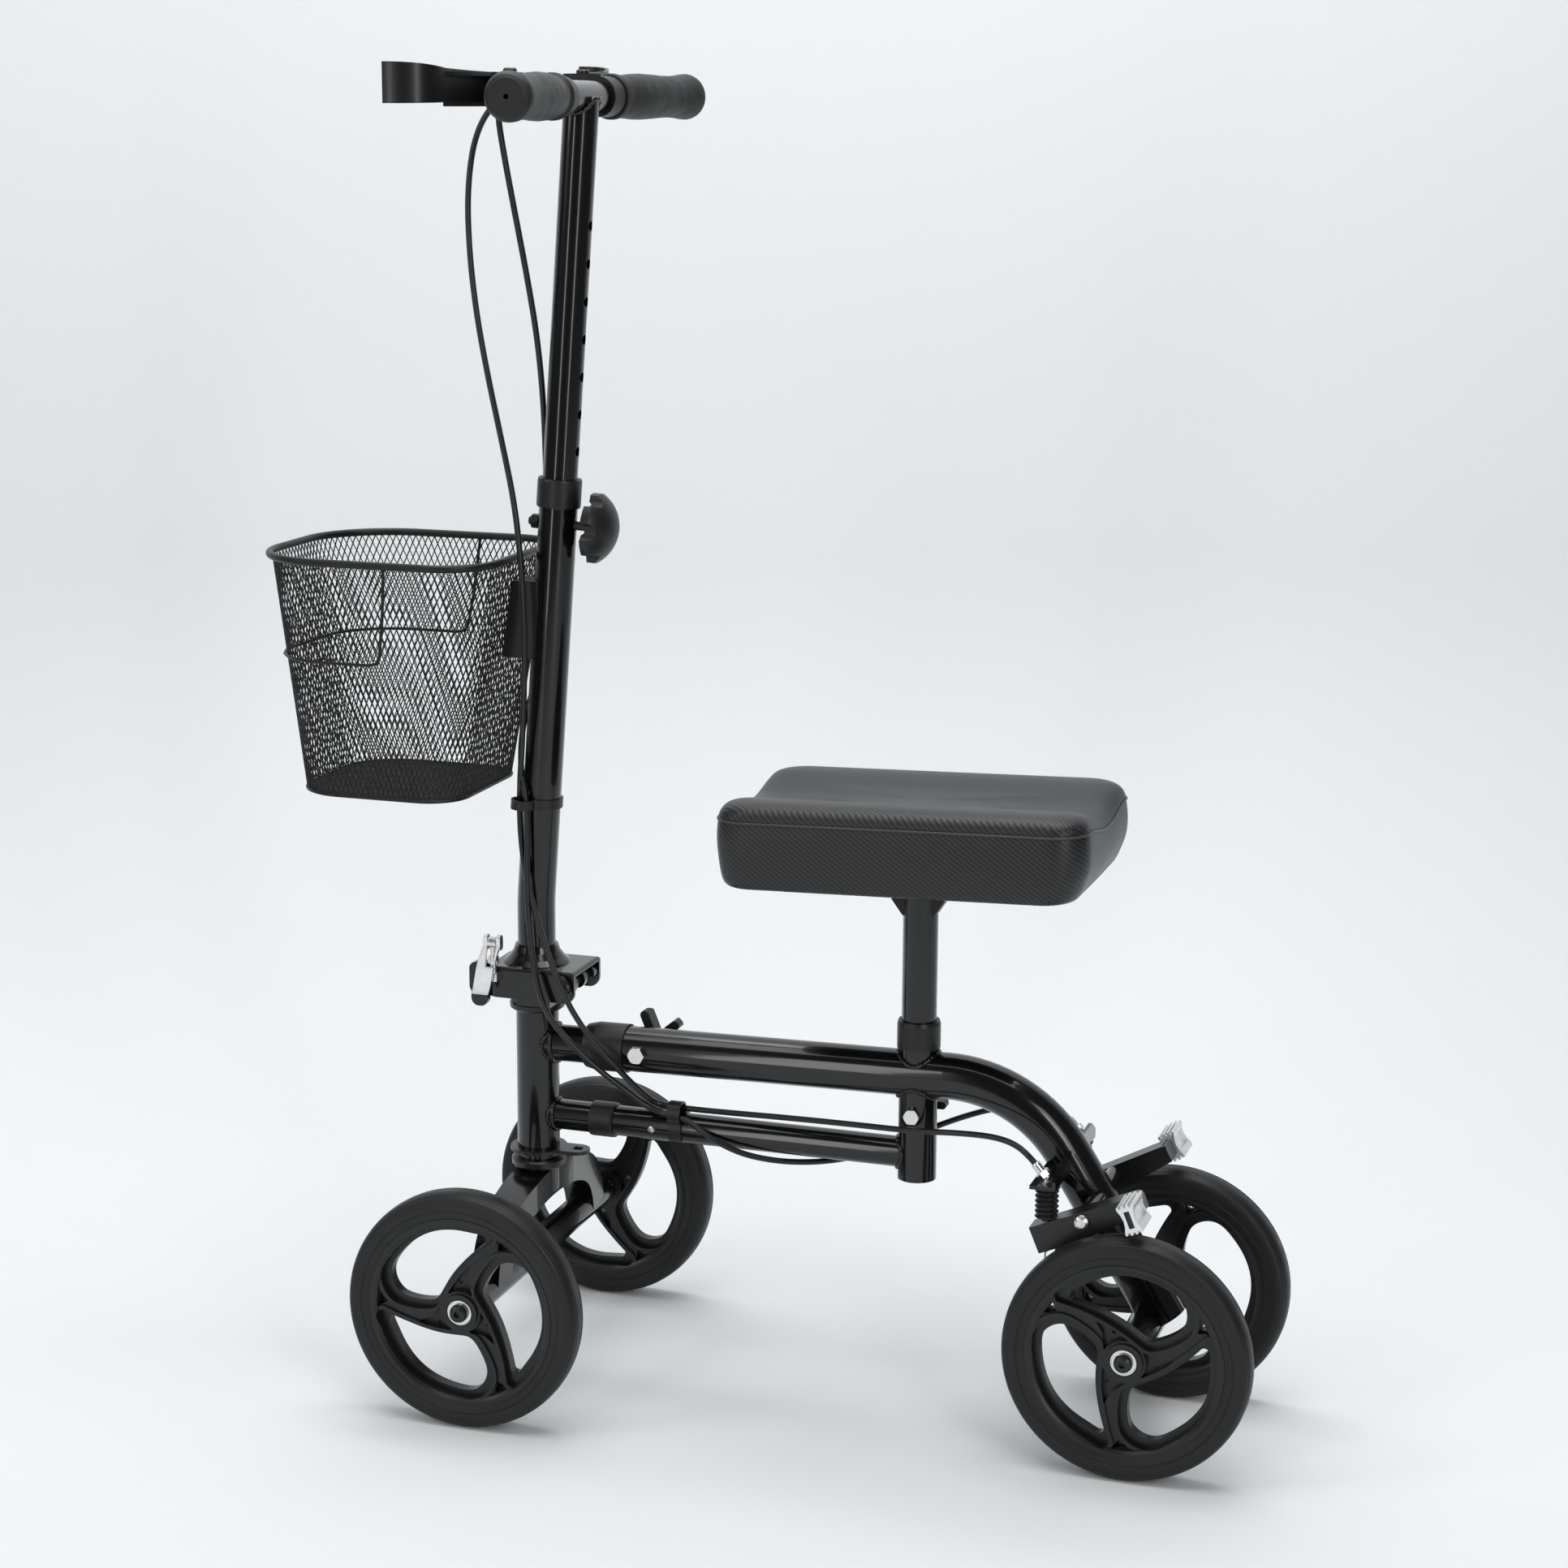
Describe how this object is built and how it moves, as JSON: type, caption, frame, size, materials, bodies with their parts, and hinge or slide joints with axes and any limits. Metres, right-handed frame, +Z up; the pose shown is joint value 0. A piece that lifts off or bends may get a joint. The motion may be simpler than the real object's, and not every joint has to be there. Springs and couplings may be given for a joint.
{
  "type": "knee scooter",
  "caption": "Steerable knee scooter: padded knee rest on a tube frame, folding column with handlebar and brake levers, mesh basket, and solid wheels on wide axles.",
  "frame": {"origin": "centre of the whole scooter's footprint on the floor, at rest with the wheels straight", "axes": "+X forward towards the basket, +Y to the rider's left, +Z up"},
  "size_m": [0.852, 0.4008, 1.089],
  "materials": {
    "gloss_black": "gloss black powder coat, fine orange peel",
    "satin_black_plastic": "satin moulded black plastic",
    "rim_plastic": "satin black glass-filled nylon",
    "tyre_rubber": "dull black polyurethane, faint ribs",
    "grip_rubber": "dull black rubber",
    "bellows_rubber": "black ribbed rubber",
    "zinc": "bright zinc plated steel",
    "bearing_steel": "polished bearing steel",
    "raw_aluminium": "raw extruded aluminium",
    "cable_black": "black PVC cable housing",
    "vinyl": "charcoal carbon twill vinyl",
    "pad_board": "black board and bracket",
    "basket_wire": "black coated wire mesh",
    "lever_black": "satin black lever",
    "button_plastic": "zinc button"
  },
  "bodies": {
    "frame": {"main_tube": "gloss_black", "lower_tube": "gloss_black", "seat_tube": "gloss_black", "head_section": "gloss_black", "plastic_sleeves": "satin_black_plastic", "headset": "lever_black", "frame_fasteners": "zinc", "cable_clip": "satin_black_plastic", "brake_crossbar": "gloss_black", "cable_stops": "zinc", "rear_axle": "gloss_black", "axle_bolts_rear": "lever_black", "bearings_rear": "bearing_steel", "bellows_left": "bellows_rubber", "bellows_right": "bellows_rubber", "cables_rear": "cable_black"},
    "snap_button": {"snap_button": "button_plastic"},
    "fork": {"fork_crown": "gloss_black", "front_axle": "gloss_black", "steerer": "gloss_black", "fold_block": "gloss_black", "axle_bolts_front": "lever_black", "bearings_front": "bearing_steel", "cables_steer": "cable_black"},
    "column": {"column_tube": "gloss_black", "fold_housing": "gloss_black", "column_hardware": "lever_black", "clamp_rod": "zinc", "column_collar": "satin_black_plastic", "cable_band": "satin_black_plastic", "basket_bracket": "satin_black_plastic", "cables_fold": "cable_black"},
    "fold_lever": {"fold_lever": "raw_aluminium"},
    "handle": {"stem_tube": "gloss_black", "handlebar": "gloss_black", "grips": "grip_rubber", "lever_brackets": "satin_black_plastic", "cables_upper": "cable_black"},
    "brake_lever_left": {"brake_lever_left": "lever_black"},
    "brake_lever_right": {"brake_lever_right": "lever_black"},
    "height_knob": {"height_knob": "satin_black_plastic"},
    "frame_knob": {"frame_knob": "satin_black_plastic"},
    "seat_knob": {"seat_knob": "satin_black_plastic"},
    "basket": {"basket_shell": "basket_wire", "basket_rim": "basket_wire"},
    "seat": {"seat_post": "gloss_black", "pad_base": "pad_board", "pad_cushion": "vinyl"},
    "brake_arm_left": {"brake_arm_left": "lever_black", "brake_shoe_left": "raw_aluminium"},
    "brake_arm_right": {"brake_arm_right": "lever_black", "brake_shoe_right": "raw_aluminium"},
    "wheel_front_left": {"rim_front_left": "rim_plastic", "tyre_front_left": "tyre_rubber"},
    "wheel_front_right": {"rim_front_right": "rim_plastic", "tyre_front_right": "tyre_rubber"},
    "wheel_rear_left": {"rim_rear_left": "rim_plastic", "tyre_rear_left": "tyre_rubber"},
    "wheel_rear_right": {"rim_rear_right": "rim_plastic", "tyre_rear_right": "tyre_rubber"}
  },
  "joints": [
    {"name": "front_left_spin", "type": "hinge", "parent": "fork", "child": "wheel_front_left", "pos_m": [0.206, 0.159, 0.1], "axis": [0, 1, 0], "continuous": true},
    {"name": "front_right_spin", "type": "hinge", "parent": "fork", "child": "wheel_front_right", "pos_m": [0.206, -0.159, 0.1], "axis": [0, 1, 0], "continuous": true},
    {"name": "rear_left_spin", "type": "hinge", "parent": "frame", "child": "wheel_rear_left", "pos_m": [-0.326, 0.087, 0.1], "axis": [0, 1, 0], "continuous": true},
    {"name": "rear_right_spin", "type": "hinge", "parent": "frame", "child": "wheel_rear_right", "pos_m": [-0.326, -0.087, 0.1], "axis": [0, 1, 0], "continuous": true},
    {"name": "steering", "type": "hinge", "parent": "frame", "child": "fork", "pos_m": [0.206, 0, 0.24], "axis": [0, 0, 1], "range_deg": [-45, 45], "deforming": ["cables_steer"]},
    {"name": "column_fold", "type": "hinge", "parent": "fork", "child": "column", "pos_m": [0.169, 0, 0.339], "axis": [0, 1, 0], "range_deg": [-41, 0], "deforming": ["cables_fold"]},
    {"name": "fold_lever_turn", "type": "hinge", "parent": "column", "child": "fold_lever", "pos_m": [0.231, 0.0346, 0.374], "axis": [1, 0, 0], "range_deg": [0, 110]},
    {"name": "handlebar_height", "type": "slide", "parent": "column", "child": "handle", "axis": [-0.0698, 0, 0.9976], "range_m": [-0.2114, 0], "deforming": ["cables_upper"]},
    {"name": "brake_lever_left_pull", "type": "hinge", "parent": "handle", "child": "brake_lever_left", "pos_m": [0.189, 0.076, 1.069], "axis": [0, 0, 1], "range_deg": [0, 18], "stiffness_Nm_per_rad": 1.5, "springref_deg": -5.73},
    {"name": "brake_lever_right_pull", "type": "hinge", "parent": "handle", "child": "brake_lever_right", "pos_m": [0.189, -0.076, 1.069], "axis": [0, 0, -1], "range_deg": [0, 18], "stiffness_Nm_per_rad": 1.5, "springref_deg": -5.73},
    {"name": "brake_arm_left_swing", "type": "hinge", "parent": "frame", "child": "brake_arm_left", "pos_m": [-0.2836, 0.059, 0.2007], "axis": [0, -1, 0], "range_deg": [0, 7.2], "stiffness_Nm_per_rad": 1.5, "springref_deg": -5.73, "deforming": ["bellows_left"]},
    {"name": "brake_arm_right_swing", "type": "hinge", "parent": "frame", "child": "brake_arm_right", "pos_m": [-0.2836, -0.059, 0.2007], "axis": [0, -1, 0], "range_deg": [0, 12.2], "stiffness_Nm_per_rad": 1.5, "springref_deg": -5.73, "deforming": ["bellows_right"]},
    {"name": "height_knob_turn", "type": "hinge", "parent": "column", "child": "height_knob", "pos_m": [0.18375, 0, 0.723], "axis": [-0.9976, 0, -0.0698], "continuous": true},
    {"name": "frame_knob_turn", "type": "hinge", "parent": "frame", "child": "frame_knob", "pos_m": [0.1085, -0.025, 0.284], "axis": [0, -1, 0], "continuous": true},
    {"name": "seat_knob_turn", "type": "hinge", "parent": "frame", "child": "seat_knob", "pos_m": [-0.129, -0.025, 0.2549], "axis": [0, -1, 0], "continuous": true},
    {"name": "seat_height", "type": "slide", "parent": "frame", "child": "seat", "axis": [0, 0, 1], "range_m": [-0.08, 0.06]},
    {"name": "basket_lift", "type": "slide", "parent": "column", "child": "basket", "axis": [0, 0, 1], "range_m": [0, 0.03]},
    {"name": "snap_button_press", "type": "slide", "parent": "frame", "child": "snap_button", "axis": [0, -1, 0], "range_m": [0, 0.004], "stiffness_N_per_m": 400, "springref_m": -0.001}
  ],
  "couplings": [
    {"joint": "brake_arm_left_swing", "follows": "brake_lever_right_pull", "ratio": 0.38889},
    {"joint": "brake_arm_right_swing", "follows": "brake_lever_left_pull", "ratio": 0.66667}
  ]
}
